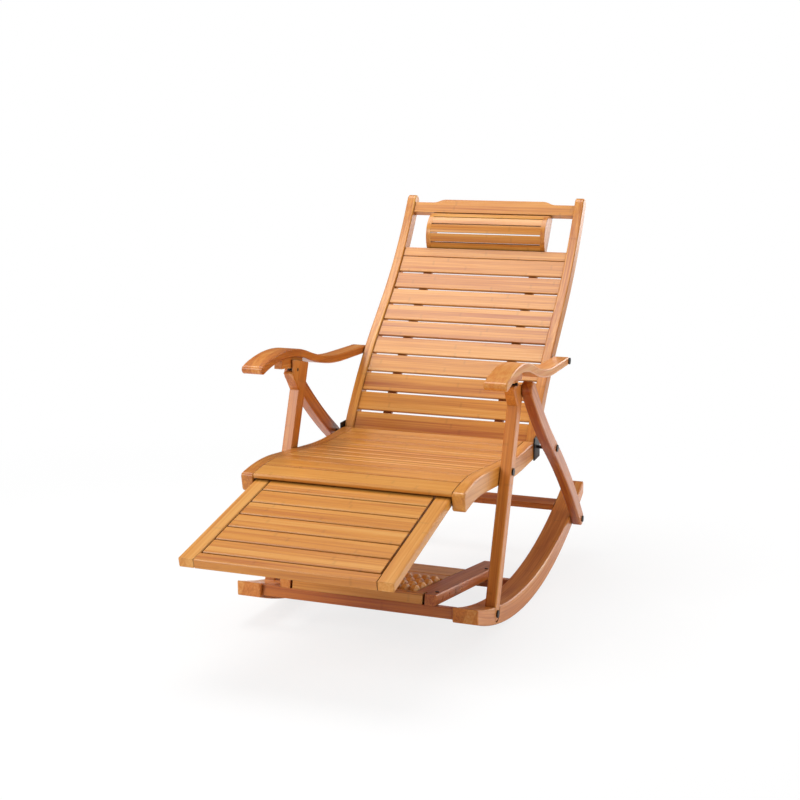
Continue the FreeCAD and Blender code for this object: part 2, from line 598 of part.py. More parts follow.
# Roller frame: two broad rails, a front bar, two boards and four turned rollers
roller_at = [S["roller_first"] + n * S["roller_pitch"] for n in range(4)]
roller_axes = [massage.at(s, S["massage_thick"] / 2) for s in roller_at]
thick, bar, over = S["massage_thick"], S["massage_bar"], S["cut_over"]
for name, side in SIDES:
    rail = padded("massage_rail_%s_blank" % name, [massage.strip(0, massage.length, thick, 0)],
                  "massage_rail", sided(side, "massage_inner", "massage_rail"),
                  [axis + (pivot_hole,) for axis in roller_axes], ease=True)
    notch = padded("massage_rail_%s_notch" % name, [massage.strip(-over, bar, thick + over, -over)],
                   "massage_notch", sided(side, "massage_inner", "massage_notch"), node=False)
    combined("Part::Cut", "massage_rail_%s" % name, rail, notch)
BAR_HALF = "massage_inner + massage_notch - massage_notch_gap"
padded("massage_front_bar", [massage.strip(0, bar, thick, 0)],
       "( %s ) * 2" % BAR_HALF, "- ( %s )" % BAR_HALF)
board_at = roller_at[-1] + S["roller_radius"]
board_loops = []
for width in (S["massage_board_first"], S["massage_board_second"]):
    board_at += S["massage_board_gap"] + width
    board_loops.append(massage.slat(board_at - width, board_at, thick, S["massage_board_thick"],
                                    S["slat_ease"]))
group_padded("massage_boards", board_loops, "massage_inner")
heads = []
for n, (side, s) in enumerate((side, s) for name, side in SIDES
                              for s in (S["screw_front_at"], S["screw_rear_at"])):
    head = doc.addObject("Part::Prism", "massage_screw_%d" % (n + 1))
    head.Polygon = HEAD_SIDES
    head.setExpression("Circumradius", bound("screw_head"))
    head.setExpression("Height", bound("screw_high"))
    head.Placement = Placement(Vector(side * (S["massage_inner"] + S["screw_in"]), *massage.at(s, thick)),
                               Rotation(Vector(1, 0, 0), -S["massage_fall"]))
    heads.append(head)
grouped("massage_screws", heads)

# A roller is a stick planed to flats and grooved across, so its face is rows of small knobs.
# One grooved slab, turned about the axis and shared with itself, leaves the knobs
ends = S["massage_inner"] - S["roller_end_gap"]
row = 2 * ends / S["roller_rows"]
rim = S["roller_radius"] * math.cos(math.pi / S["roller_flats"])
ridge = [(-ends, rim - S["roller_groove"])]
for n in range(int(S["roller_rows"])):
    x = -ends + n * row
    ridge += [(x + row * 0.3, rim), (x + row * 0.7, rim), (x + row, rim - S["roller_groove"])]
outline = doc.addObject("Sketcher::SketchObject", "roller_outline")
draw(outline, [[(point,) for point in ridge + [(x, -y) for x, y in reversed(ridge)]]])
slabs = []
for n in range(int(S["roller_flats"]) // 2):
    slab = doc.addObject("Part::Extrusion", "roller_slab_%d" % n)
    slab.Base, slab.DirMode, slab.Dir, slab.Solid = outline, "Custom", Vector(0, 0, 1), True
    slab.setExpression("LengthFwd", bound("roller_radius"))
    slab.setExpression("LengthRev", bound("roller_radius"))
    slab.Placement.Rotation = Rotation(Vector(1, 0, 0), n * 360 / S["roller_flats"])
    slabs.append(slab)
knobs = doc.addObject("Part::MultiCommon", "roller_knobs")
knobs.Shapes = slabs
axle_half = S["massage_inner"] + S["journal_length"]
axle = along_x("Part::Cylinder", "roller_axle", 1, -axle_half, 2 * axle_half, "pin_radius", 0, 0)
stick = doc.addObject("Part::Fuse", "roller_stick")
stick.Base, stick.Tool = knobs, axle
for n, axis in enumerate(roller_axes, 1):
    grouped("massage_roller_%d" % n, [stick]).Placement.Base = Vector(0, *axis)

# Back: two S-curved rails, ten slats on two battens, a cross rail and a crest rail
half = S["back_rail_depth"] / 2
back_loop = back.strip(0, back.length - half, half, -half, round_start=True, round_end=True)
for name, side in SIDES:
    padded("back_rail_%s" % name, [back_loop], "back_rail_thick",
           sided(side, BACK_HALF, "back_rail_thick"),
           [hinge + (pivot_hole,), arm_pivot + (pivot_hole,)], ease=True)
face, start = S["back_face"], S["slat_start"]
crest_foot = back.length - S["crest_down"]
mid_top = crest_foot - S["head_opening"]
mid_foot = mid_top - S["mid_rail_width"]
slat_end = mid_foot - S["rail_seam"]
pitch = (slat_end - start + S["back_slat_gap"]) / 10
for n in range(10):
    padded("back_slat_%d" % (n + 1),
           [back.slat(start + n * pitch, start + (n + 1) * pitch - S["back_slat_gap"], face,
                      S["back_slat_thick"], S["back_slat_ease"])],
           "( %s ) * 2" % BACK_HALF, "- ( %s )" % BACK_HALF)
batten_face = face - S["back_slat_thick"] - S["side_gap"]
for name, side in SIDES:
    padded("back_batten_%s" % name,
           [back.strip(start, slat_end, batten_face, batten_face - S["batten_thick"])],
           "batten_width", sided(side, "batten_inner", "batten_width"))
padded("back_mid_rail", [back.slat(mid_foot, mid_top, face, S["mid_rail_thick"], S["slat_ease"])],
       "( %s ) * 2" % BACK_HALF, "- ( %s )" % BACK_HALF)
flat, lift = S["crest_width"], S["crest_rise"]
slope = [(S["crest_middle"] + S["crest_slope"] * share, flat + lift * rise)
         for share, rise in ((1, 0), (0.75, 0.125), (0.5, 0.5), (0.25, 0.875), (0, 1))]
mirrored = [(-x, z) for x, z in reversed(slope)]
crest_loop = [((back_half, 0),), ((back_half, flat),),
              (slope[0],), (slope[1], slope[2]), (slope[3], slope[4]),
              (mirrored[0],), (mirrored[1], mirrored[2]), (mirrored[3], mirrored[4]),
              ((-back_half, flat),), ((-back_half, 0),)]
crest = padded("back_crest_rail", [crest_loop], "crest_thick", "", role="XY_Plane")
crest.Placement = Placement(Vector(0, *back.at(crest_foot, face - S["crest_thick"])),
                            Rotation(Vector(1, 0, 0), back.heading(crest_foot)))

# Headrest: two half-round end plates joined by curved staves
nose = (mid_top + crest_foot) / 2
lip, rear = S["headrest_lip"], -S["headrest_rear"]
rim_points = [back.at(mid_top, lip), back.at(nose, S["headrest_bulge"]), back.at(crest_foot, lip)]
end_loop = [(rim_points[0],), (rim_points[1], rim_points[2]), (back.at(crest_foot, rear),),
            (back.at(nose, rear), back.at(mid_top, rear))]
for name, side in SIDES:
    padded("headrest_end_%s" % name, [end_loop], "headrest_plate",
           sided(side, "headrest_half - headrest_plate", "headrest_plate"))
rim_arc = Part.ArcOfCircle(*[Vector(*point, 0) for point in rim_points])
centre, radius = rim_arc.Center, rim_arc.Radius


def on_rim(share, depth):
    """A point a share of the way round the headrest, in from its face."""
    span = rim_arc.LastParameter - rim_arc.FirstParameter
    point = rim_arc.value(rim_arc.FirstParameter + span * share)
    point = point + (centre - point) * (depth / radius)
    return (point.x, point.y)


rim_length = rim_arc.length()
slit = S["stave_gap"] / rim_length
staves = []
for n in range(6):
    a, b = n / 6 + slit / 2, (n + 1) / 6 - slit / 2
    m, deep = (a + b) / 2, S["stave_thick"]
    staves.append([(on_rim(a, 0),), (on_rim(m, 0), on_rim(b, 0)), (on_rim(b, deep),),
                   (on_rim(m, deep), on_rim(a, deep))])
group_padded("headrest_staves", staves, "headrest_half - headrest_plate")

# Arms: waved boards that taper to the rear, with a curved rack over the catch pin
half = S["arm_thick"] / 2
arm_loop = arm.strip(0, arm.length, half, -half, round_start=True, round_end=True)
ARM_INNER = LEG_INNER + " + arm_gap"
arm_inner = leg_inner + S["arm_gap"]
arm_front = arm.end[0] - half
arm_rear = arm_pivot[0] + half


def above(point, height):
    return (point[0], point[1] + height)


def rack_foot(degrees):
    """The rack's lower edge where it passes the catch pin at this recline."""
    return above(on_arm(catch, degrees), S["pin_radius"] + S["rack_gap"])


up, down = -S["recline_up"], S["recline_back"]
rack_loop, here = [], up
for notch in (up * 0.5, down * 0.2, down * 0.6):
    begin, leave = notch - S["notch_half"], notch + S["notch_half"]
    rack_loop.append((rack_foot((here + begin) / 2), rack_foot(begin)))
    rack_loop.append((above(rack_foot(notch), S["pin_radius"]), rack_foot(leave)))
    here = leave
rack_loop.append((rack_foot((here + down) / 2), rack_foot(down)))
rack_ends = [rack_foot(down)[0] - S["rack_end"], rack_foot(up)[0] + S["rack_end"]]
rack_top = [arm.at(arm.where(y, half), half) for y in (rack_ends[0], sum(rack_ends) / 2, rack_ends[1])]
rack_loop += [((rack_ends[0], rack_foot(down)[1] + S["rack_end_lift"]),),
              (rack_top[0],), (rack_top[1], rack_top[2]),
              ((rack_ends[1], rack_foot(up)[1] + S["rack_end_lift"]),), (rack_foot(up),)]
RACK_INNER = LEG_INNER + " + cheek_thick + arm_gap"
for name, side in SIDES:
    wide, lost = S["arm_width"], S["arm_taper"]
    past = wide + S["cut_over"]
    edge = [(wide, arm_front), (past, arm_front), (past, arm_rear), (wide - lost, arm_rear)]
    plan = [((x if side > 0 else wide - x, y),) for x, y in edge]
    padded("arm_%s" % name, [arm_loop], "arm_width", sided(side, ARM_INNER, "arm_width"),
           [arm_pivot + (pivot_hole,)], ease=True, plan=plan)
    padded("arm_rack_%s" % name, [rack_loop], "rack_thick", sided(side, RACK_INNER, "rack_thick"))
    bolt_face = arm_inner + wide - lost * (arm_pivot[0] - arm_front) / (arm_rear - arm_front) + S["side_gap"]
    grouped("arm_bolt_%s" % name, [bolt("arm_pin_" + name, side, back_half + S["pin_recess"], bolt_face,
                                        *arm_pivot)])

# Footrest: pins that run in the seat's grooves and a slatted panel that tilts on them.
# Its tail reaches back until it bears on the seat's boards from below
half, board = S["footrest_thick"] / 2, S["footrest_slat_thick"]
under = -S["seat_board_thick"] - S["tail_gap"]
foot_length = S["footrest_reach"]
while True:
    y, z = footrest.at(foot_length, half)
    if z > seat.at(seat.where(y, under), under)[1]:
        break
    foot_length += 0.1
FOOT_HALF = SEAT_HALF + " - footrest_side - footrest_rail"
foot_half = seat_half - S["footrest_side"] - S["footrest_rail"]
grouped("footrest_pins", [bolt("footrest_pin_" + name, side, foot_half + S["bolt_cover"],
                               seat_half + S["groove_depth"] - S["side_gap"], *footrest_pin, headed=False)
                          for name, side in SIDES])
for name, side in SIDES:
    padded("footrest_rail_%s" % name, [footrest.strip(0, foot_length, half, -half)], "footrest_rail",
           sided(side, FOOT_HALF, "footrest_rail"), [footrest_pin + (pivot_hole,)], ease=True)
gap = S["slat_gap"]
padded("footrest_front_rail", [footrest.slat(0, S["footrest_end"] - gap / 2, half,
                                             S["footrest_thick"], S["slat_ease"])],
       "( %s ) * 2" % FOOT_HALF, "- ( %s )" % FOOT_HALF)
first, pitch = S["footrest_end"], S["footrest_pitch"]
count = math.ceil((foot_length - first) / pitch)
edges = [(first + n * pitch + gap / 2, min(first + (n + 1) * pitch - gap / 2, foot_length))
         for n in range(count)]
group_padded("footrest_slats", [footrest.slat(s0, s1, half, board, S["slat_ease"])
                                for s0, s1 in edges], FOOT_HALF + " - footrest_slit")
batten_loop = footrest.strip(first - gap / 2, foot_length, half - board, -half)
grouped("footrest_battens", [padded("footrest_batten_" + name, [batten_loop], "footrest_batten_width",
                                    sided(side, "footrest_batten_inner", "footrest_batten_width"), node=False)
                             for name, side in SIDES])

# The chair is drawn level on its rockers. It stands rolled forward about their centre
doc.recompute()
settled = Placement(Vector(0, 0, 0), Rotation(Vector(1, 0, 0), S["settle"]),
                    Vector(0, 0, S["rocker_radius"]))
for node in nodes:
    node.Placement = settled.multiply(node.Placement)
doc.recompute()
for item in doc.Objects:
    if "Invalid" in item.State or "Error" in item.State:
        raise RuntimeError("%s did not compute: %s" % (item.Label, item.State))
for node in nodes:
    if node.Shape.isNull() or not node.Shape.isValid() or not node.Shape.Solids:
        raise RuntimeError("%s has no sound solid" % node.Label)
os.makedirs("parts", exist_ok=True)
for node in nodes:
    node.Shape.exportStep("parts/%s.step" % node.Label)
print(len(nodes), "nodes written")
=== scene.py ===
# %% [markdown]
# # A bamboo rocking chair that reclines
# The chair's solids come from the CAD frame, already in place and in metres. This lesson gives
# them their finishes, closes the bores of the roller frame with small plugs and sets up the
# floor, the light and the camera. The CAD meshes themselves are never edited.

# %% Load the frame
import math
import bpy
import bmesh
from mathutils import Matrix, Vector


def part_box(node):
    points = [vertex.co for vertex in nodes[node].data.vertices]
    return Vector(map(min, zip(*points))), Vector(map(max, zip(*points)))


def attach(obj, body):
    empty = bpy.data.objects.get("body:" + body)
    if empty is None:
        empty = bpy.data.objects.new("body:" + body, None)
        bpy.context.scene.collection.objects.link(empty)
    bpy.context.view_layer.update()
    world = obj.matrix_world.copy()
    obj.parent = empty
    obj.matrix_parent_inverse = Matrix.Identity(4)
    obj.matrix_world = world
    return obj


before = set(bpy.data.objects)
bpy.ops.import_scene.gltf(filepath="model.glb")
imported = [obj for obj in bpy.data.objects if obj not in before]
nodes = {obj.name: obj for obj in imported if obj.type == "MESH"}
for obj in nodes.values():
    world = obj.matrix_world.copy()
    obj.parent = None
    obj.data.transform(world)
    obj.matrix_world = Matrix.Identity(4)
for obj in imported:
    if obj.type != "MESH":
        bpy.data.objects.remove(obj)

scene = bpy.context.scene
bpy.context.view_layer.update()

# %% [markdown]
# ## How the chair stands
# The empty chair has rolled forward a little on its rockers, because the footrest is out. Every
# slope below is given for the level chair, as a maker would draw it, and turned by this roll.

# %% The roll and the rocker's centre
ROLL = 5.17
ROCKER_RADIUS = 1.226
rocker_centre = Vector((0, 0, ROCKER_RADIUS))
settled = (Matrix.Translation(rocker_centre) @ Matrix.Rotation(math.radians(ROLL), 4, "X")
           @ Matrix.Translation(-rocker_centre))
print("the level chair is rolled by", ROLL, "degrees")

# %% [markdown]
# ## Writing shader maths as Python
# A material's pattern is a chain of small sums. Dragging Math nodes about hides the sums, so a
# small class wraps one socket and lets +, -, * and / add the nodes: Math for values, Vector Math
# for vectors and Mix for colours.

# %% A socket that does sums
class Wire:
    def __init__(self, finish, socket):
        self.finish, self.socket = finish, socket

    def sum(self, operation, first, second):
        kinds = {part.socket.type for part in (first, second) if isinstance(part, Wire)}
        if "RGBA" in kinds:
            return self.finish.node("ShaderNodeMix", {"data_type": "RGBA", "blend_type": operation},
                                    {0: 1.0, 6: first, 7: second}, output=2)
        if "VECTOR" in kinds:
            return self.finish.node("ShaderNodeVectorMath", {"operation": operation}, {0: first, 1: second})
        return self.finish.node("ShaderNodeMath", {"operation": operation}, {0: first, 1: second})

    def __add__(self, other):
        return self.sum("ADD", self, other)

    def __radd__(self, other):
        return self.sum("ADD", other, self)

    def __sub__(self, other):
        return self.sum("SUBTRACT", self, other)

    def __rsub__(self, other):
        return self.sum("SUBTRACT", other, self)

    def __mul__(self, other):
        return self.sum("MULTIPLY", self, other)

    def __rmul__(self, other):
        return self.sum("MULTIPLY", other, self)

    def __truediv__(self, other):
        return self.sum("DIVIDE", self, other)

    def __rtruediv__(self, other):
        return self.sum("DIVIDE", other, self)


print("a socket takes + - * and /")

# %% [markdown]
# Every other node is added by one method of a second class, which keeps one material. Settings come
# first, the stops of a ramp among them, and then the sockets, which take a value or a wire. The
# shader's own constants are given by name when the material is made.

# %% A material that takes any node
class Finish:
    """One material, with a shader at its end and any node added by its type."""

    def __init__(self, name, **shader):
        self.material = bpy.data.materials.new(name)
        self.material.use_nodes = True
        self.tree = self.material.node_tree
        self.shader = self.tree.nodes["Principled BSDF"]
        for socket, value in shader.items():
            self.shader.inputs[socket.replace("_", " ")].default_value = value

    def fill(self, socket, value):
        if isinstance(value, Wire):
            self.tree.links.new(value.socket, socket)
        elif isinstance(value, (int, float)) and socket.type in ("VECTOR", "RGBA"):
            socket.default_value = [value] * len(socket.default_value)
        else:
            socket.default_value = value

    def node(self, kind, settings=None, sockets=None, output=0):
        made = self.tree.nodes.new(kind)
        for name, value in (settings or {}).items():
            if name == "stops":
                ramp = made.color_ramp.elements
                while len(ramp) < len(value):
                    ramp.new(1)
                for stop, (place, colour) in zip(ramp, value):
                    stop.position, stop.color = place, colour
            else:
                setattr(made, name, value)
        for name, value in (sockets or {}).items():
            self.fill(made.inputs[name], value)
        return Wire(self, made.outputs[output])

    def split(self, vector):
        parts = self.node("ShaderNodeSeparateXYZ", None, {0: vector}).socket.node
        return [Wire(self, socket) for socket in parts.outputs]

    def drive(self, socket, value):
        self.fill(self.shader.inputs[socket], value)


print("shader sums ready")

# %% [markdown]
# ## Bamboo
# The chair is made of bamboo strips glued side by side, heat-treated to a honey tone and
# lacquered. Three things make it read as bamboo and not as any wood: fine parallel fibres, strips
# of slightly different tone with thin glue lines, and a faint darker band where a cane had a
# node. All three follow the length of a piece, so the pattern is built on three numbers at each
# point: along the piece, across it and through it. Object coordinates give those numbers in
# metres, so the scale is real. The colour is also darkened in the nooks between boards and under
# parts, which an Ambient Occlusion node finds: this is painted shade.

# %% Colours of the cane
def srgb(red, green, blue):
    """A screen colour, 0 to 255, as the linear colour that a shader takes."""
    def line(value):
        value /= 255
        return value / 12.92 if value <= 0.04045 else ((value + 0.055) / 1.055) ** 2.4
    return (line(red), line(green), line(blue), 1)


HONEY_DARK = srgb(160, 74, 20)
HONEY = srgb(210, 139, 55)
HONEY_PALE = srgb(230, 177, 101)
AMBER = srgb(208, 126, 47)
print("honey:", [round(c, 3) for c in HONEY[:3]])

# %% [markdown]
# A straight piece needs only a turn about X to line its length up with one axis. A rocker is
# bent, so its length is measured round the rocker's centre: an angle times the radius runs
# along it, and the distance from the centre runs through it.

# %% Coordinates along a piece
def place_on_piece(finish, lean):
    """Along, across and through, in metres, for a piece that leans this much from level.

    lean is degrees from level to the rear, "across" for a piece that spans the chair, or
    "rocker" for one bent round the rocker's centre.
    """
    spot = finish.node("ShaderNodeTexCoord", output="Object")
    if lean not in ("across", "rocker"):
        turn = (-math.radians(lean + ROLL), 0, 0)
        spot = finish.node("ShaderNodeMapping", {"vector_type": "POINT"},
                           {"Vector": spot, "Rotation": turn})
    x, y, z = finish.split(spot)
    if lean == "across":
        return x, y + z * 0.7, z
    if lean == "rocker":
        height = ROCKER_RADIUS - z
        angle = finish.node("ShaderNodeMath", {"operation": "ARCTAN2"}, {0: y, 1: height})
        reach = finish.node("ShaderNodeMath", {"operation": "SQRT"}, {0: y * y + height * height})
        return angle * ROCKER_RADIUS, x, reach
    return y, x, z


print("coordinates ready for straight, crosswise and rocker pieces")

# %% [markdown]
# Edges rub pale first. The Bevel node gives the normal that a rounded edge would have, so where it
# turns away from the true normal there is an edge. The same rounded normal also softens the hard
# corners of the solids when the light runs over them.

# %% Edges of a piece
def worn_edges(finish, width, wear_from, wear_to):
    """How near a point is to a rubbed edge, 0 to 1, and the rounded normal."""
    rounded = finish.node("ShaderNodeBevel", {"samples": 4}, {"Radius": width})
    flat = finish.node("ShaderNodeNewGeometry", output="Normal")
    turn = finish.node("ShaderNodeVectorMath", {"operation": "DOT_PRODUCT"}, {0: rounded, 1: flat},
                       output="Value")
    edge = finish.node("ShaderNodeMapRange", {"interpolation_type": "SMOOTHSTEP"},
                       {"Value": turn, "From Min": wear_from, "From Max": wear_to})
    return edge, rounded


print("edge recipe ready")

# %% [markdown]
# Now the finish itself. One shade is summed from the fibres, slow clouds, the tone of a strip and
# the tone of the whole piece, and a colour ramp turns that shade into dark, middle or pale bamboo.
# The boards are a yellow honey and the frame a redder amber, so the middle colour is given for each
# piece. The fibres also vary the roughness and raise a very low bump, as grain does under thin
# lacquer.

# %% The bamboo finish
# In metres: a strip's width and depth, the pitch of the fibres, the length between a cane's joints,
# the width of a rubbed edge and the reach of the painted shade in a nook.
STRIP, LAYER, FIBRE, CANE_JOINT = 0.019, 0.047, 0.0013, 0.31
RUBBED_EDGE, NOOK = 0.0022, 0.011


def bamboo(name, lean, tone, middle):
    """Lacquered bamboo whose strips run along a piece that leans this much.

    tone makes it paler or darker than its middle colour.
    """
    finish = Finish(name, Coat_Weight=0.35, Coat_Roughness=0.22, Specular_IOR_Level=0.32)
    along, across, through = place_on_piece(finish, lean)
    board = finish.node("ShaderNodeObjectInfo", output="Random")
    spot = finish.node("ShaderNodeCombineXYZ", None, {0: along, 1: across, 2: through})

    row = across / STRIP + through / LAYER + board * 3.7
    strip = finish.node("ShaderNodeMath", {"operation": "FLOOR"}, {0: row})
    strip_tone = finish.node("ShaderNodeTexWhiteNoise", {"noise_dimensions": "1D"},
                             {"W": strip + board * 37.0})

    shift = finish.node("ShaderNodeCombineXYZ", None, {0: strip_tone * 11.0 + board * 5.0})
    fibre = finish.node("ShaderNodeTexNoise", None,
                        {"Vector": spot * (4.0, 0.25 / FIBRE, 0.25 / FIBRE) + shift,
                         "Scale": 1.0, "Detail": 4.0, "Roughness": 0.62})
    cloud = finish.node("ShaderNodeTexNoise", None,
                        {"Vector": spot * (2.6, 30.0, 30.0) + shift, "Scale": 1.0, "Detail": 2.0})

    ring = finish.node("ShaderNodeMath", {"operation": "PINGPONG"},
                       {0: along / CANE_JOINT + strip_tone * 7.0, 1: 0.5})
    joint = finish.node("ShaderNodeMapRange", {"interpolation_type": "SMOOTHSTEP"},
                        {"Value": ring, "From Min": 0.016, "From Max": 0.0})
    half_strip = finish.node("ShaderNodeMath", {"operation": "PINGPONG"}, {0: row, 1: 0.5})
    glue = finish.node("ShaderNodeMapRange", None,
                       {"Value": half_strip, "From Min": 0.03, "From Max": 0.0})
    edge, rounded = worn_edges(finish, RUBBED_EDGE, 0.985, 0.80)
    worn = edge * cloud

    shade = (0.5 + tone + (fibre - 0.5) * 0.8 + (cloud - 0.5) * 0.3 + (strip_tone - 0.5) * 0.2
             + (board - 0.5) * 0.16 + worn * 0.22)
    colour = finish.node("ShaderNodeValToRGB",
                         {"stops": [(0.1, HONEY_DARK), (0.5, middle), (0.9, HONEY_PALE)]}, {"Fac": shade})
    # Painted shade: the base colour is darkened where Ambient Occlusion finds nooks between boards and
    # under parts.
    nook = finish.node("ShaderNodeAmbientOcclusion", {"samples": 4}, {"Distance": NOOK}, output="AO")
    painted_nook_shade = finish.node("ShaderNodeMapRange", None,
                         {"Value": nook, "From Min": 0.92, "From Max": 0.4, "To Max": 0.42})
    finish.drive("Base Color", colour * (1.0 - joint * 0.12 - glue * 0.1 - painted_nook_shade))
    finish.drive("Roughness", 0.36 + (0.5 - fibre) * 0.22 + glue * 0.1 + worn * 0.12)
    bump = finish.node("ShaderNodeBump", None, {"Strength": 0.12, "Distance": 0.0006,
                                                "Height": fibre - glue * 0.8, "Normal": rounded})
    finish.drive("Normal", bump)
    return finish.material


print("bamboo recipe ready")

# %% [markdown]
# ## Which way each piece runs
# Grain that crosses a rail looks wrong at once, so every piece is listed with the way its length
# runs. Slats and cross rails span the chair. Rails, legs and arms run front to rear at the slope
# of the piece. Pieces of one slope share a finish. Each row gives the slope, the tone, the middle
# colour and the pieces.

# %% Bamboo on the CAD pieces
BOTH = ("left", "right")
RUNS = {
    "slat": ("across", 0.0, HONEY, ["seat_slats", "seat_front_rail", "footrest_slats",
                                    "footrest_front_rail", "massage_boards", "massage_front_bar",
                                    "headrest_staves"]),
    "back slat": ("across", -0.06, HONEY, ["back_crest_rail", "back_mid_rail"]
                  + ["back_slat_%d" % n for n in range(1, 11)]),
    "hidden cross rail": ("across", -0.22, AMBER, ["seat_rear_rail", "front_stretcher",
                                                   "middle_stretcher", "rear_stretcher"]),
    "roller": ("across", 0.12, HONEY, ["massage_roller_%d" % n for n in range(1, 5)]),
    "rocker": ("rocker", -0.03, AMBER, ["rocker_%s" % side for side in BOTH]),
    "front leg": (69.1, -0.04, AMBER, ["front_leg_%s" % side for side in BOTH]),
    "rear leg": (-39.6, -0.28, AMBER, ["rear_leg_%s" % side for side in BOTH]),
    "seat rail": (-5.4, -0.06, HONEY, ["seat_rail_%s" % side for side in BOTH]),
    "back rail": (48.3, -0.05, HONEY, ["%s_%s" % (part, side) for side in BOTH
                                       for part in ("back_rail", "headrest_end")]),
    # The battens behind the back are darkened far below the boards' tone: painted shade, for the shade they
    # lie in behind the slats.
    "back batten": (48.3, -0.5, HONEY, ["back_batten_%s" % side for side in BOTH]),
    "arm": (-4.5, -0.03, AMBER, ["%s_%s" % (part, side) for side in BOTH
                                 for part in ("arm", "arm_rack")]),
    "footrest rail": (10.7, 0.0, HONEY, ["footrest_rail_%s" % side for side in BOTH]),
    "footrest batten": (10.7, -0.5, HONEY, ["footrest_battens"]),
    "roller frame rail": (-11.2, -0.14, AMBER, ["massage_rail_%s" % side for side in BOTH]),
}
for piece, (lean, tone, middle, names) in RUNS.items():
    material = bamboo("bamboo " + piece, lean, tone, middle)
    for name in names:
        nodes[name].data.materials.clear()
        nodes[name].data.materials.append(material)
    print("bamboo", piece, "on", len(names), "pieces")

# %% [markdown]
# ## Plugs over the roller journals
# The bores for the rollers run right through the frame's rails. The photograph shows no open holes
# on the rails' outer sides, so each bore is taken to be closed by a turned plug, slightly sunk and
# a little domed. A profile of a few points, swept round the bore's axis, makes one plug. All eight
# share that one mesh.

# %% Turn a plug
PLUG_RADIUS, PLUG_LENGTH, DOME = 0.00395, 0.0065, 0.0008
PLUG_SIDES = 28
# Each point is a depth along the axis and a share of the radius.
PROFILE = [(0, 0), (0, 1), (PLUG_LENGTH - DOME, 1), (PLUG_LENGTH - 0.4 * DOME, 0.85),
           (PLUG_LENGTH, 0.4), (PLUG_LENGTH, 0)]
plug_mesh = bpy.data.meshes.new("journal plug")
turned = bmesh.new()
rings = []
for depth, share in PROFILE:
    angles = [2 * math.pi * n / PLUG_SIDES for n in range(PLUG_SIDES)] if share else [0]
    reach = PLUG_RADIUS * share
    rings.append([turned.verts.new((depth, reach * math.cos(a), reach * math.sin(a))) for a in angles])
for inner, outer in zip(rings, rings[1:]):
    for n in range(PLUG_SIDES):
        corners = [inner[n % len(inner)], inner[(n + 1) % len(inner)],
                   outer[(n + 1) % len(outer)], outer[n % len(outer)]]
        turned.faces.new(list(dict.fromkeys(corners)))
bmesh.ops.recalc_face_normals(turned, faces=turned.faces)
turned.to_mesh(plug_mesh)
turned.free()
plug_mesh.materials.append(bamboo("bamboo journal plug", "across", -0.14, AMBER))
print("one plug of", len(plug_mesh.polygons), "faces")

# %% Set a plug in each bore
SUNK = 0.0002
rail_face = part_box("massage_rail_right")[1][0]
for number in range(1, 5):
    low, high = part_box("massage_roller_%d" % number)
    for side, way in (("right", 1), ("left", -1)):
        plug = bpy.data.objects.new("journal_plug_%s_%d" % (side, number), plug_mesh)
        plug.location = (way * (rail_face - PLUG_LENGTH - SUNK),
                         (low[1] + high[1]) / 2, (low[2] + high[2]) / 2)
        plug.rotation_euler = (0, 0, 0 if way > 0 else math.pi)
        scene.collection.objects.link(plug)
        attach(plug, "frame")
print("8 plugs set", round(rail_face * 1000, 1), "mm out from the middle")

# %% [markdown]
# ## Black steel
# The hinge plates, pins and bolts are black coated steel. The coat is thin and slightly uneven,
# and it has rubbed where parts turn, so the roughness wanders and a few paler specks show.

# %% Steel on the CAD hardware
BLACK_COAT = srgb(26, 24, 23)
RUBBED_COAT = srgb(66, 62, 60)


def coated_steel(name):
    finish = Finish(name, IOR=1.5)
    spot = finish.node("ShaderNodeTexCoord", output="Object")
    pitted = finish.node("ShaderNodeTexNoise", None, {"Vector": spot, "Scale": 260.0, "Detail": 3.0})
    edge, rounded = worn_edges(finish, 0.0008, 0.97, 0.8)
    rubbed = finish.node("ShaderNodeMapRange", {"interpolation_type": "SMOOTHSTEP"},
                         {"Value": pitted + edge * 0.12, "From Min": 0.62, "From Max": 0.74})
    colour = finish.node("ShaderNodeMix", {"data_type": "RGBA"},
                         {0: rubbed, 6: BLACK_COAT, 7: RUBBED_COAT}, output=2)
    finish.drive("Base Color", colour)
    finish.drive("Roughness", 0.42 - rubbed * 0.12)
    finish.drive("Metallic", 0.2 + rubbed * 0.5)
    bump = finish.node("ShaderNodeBump", None, {"Strength": 0.08, "Distance": 0.0003, "Height": pitted,
                                                "Normal": rounded})
    finish.drive("Normal", bump)
    return finish.material


steel = coated_steel("black coated steel")
HARDWARE = ["frame_bolts", "hinge_pins", "catch_pins", "massage_screws", "footrest_pins",
            "hinge_plate_left", "hinge_plate_right", "arm_bolt_left", "arm_bolt_right"]
for name in HARDWARE:
    nodes[name].data.materials.clear()
    nodes[name].data.materials.append(steel)
print("steel on", len(HARDWARE), "pieces")

# %% [markdown]
# ## The floor
# The chair stands on a pale sheet that fades into white. One large flat sheet is enough, because no
# edge of it is seen. It is lifted towards white only where the camera looks at it, and less near the
# chair, so the shadow stays and the light on the chair is plain.

# %% The floor
FLOOR_HALF = 30.0
floor_mesh = bpy.data.meshes.new("studio floor")
sheet = bmesh.new()
bmesh.ops.create_grid(sheet, x_segments=1, y_segments=1, size=FLOOR_HALF)
sheet.to_mesh(floor_mesh)
sheet.free()
floor = bpy.data.objects.new("studio floor", floor_mesh)
scene.collection.objects.link(floor)

